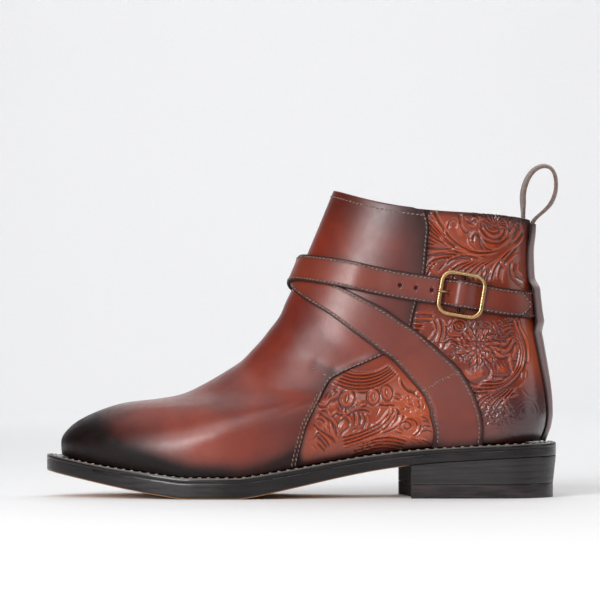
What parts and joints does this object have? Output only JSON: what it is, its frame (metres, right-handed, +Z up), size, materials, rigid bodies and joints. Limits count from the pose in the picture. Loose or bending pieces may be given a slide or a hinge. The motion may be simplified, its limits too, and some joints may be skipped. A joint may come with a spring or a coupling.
{
  "type": "jodhpur boot",
  "caption": "Ankle-high jodhpur boot with crossed instep straps, a side buckle, tooled leather quarters, a back pull loop and a stacked heel on a welted sole.",
  "frame": {"origin": "middle of the boot's box at the floor", "axes": "+Z up, the toe points to -X and the heel to +X, the outer side of the foot faces -Y"},
  "size_m": [0.3064, 0.1072, 0.1989],
  "materials": {
    "calf": "burnished, polished",
    "strap_calf": "burnished, polished",
    "lining": "matte",
    "sole_edge": "waxed",
    "heel": "waxed",
    "top_piece": "satin",
    "brass": "antique, polished"
  },
  "bodies": {
    "root": {"outsole": "sole_edge", "welt": "sole_edge", "insole": "lining", "heel_stack": "heel", "top_piece": "top_piece", "upper": "calf", "strap_under": "strap_calf", "strap_over": "strap_calf", "backstay": "calf", "buckle_frame": "brass", "buckle_prong": "brass", "pull_loop": "strap_calf"}
  },
  "joints": []
}
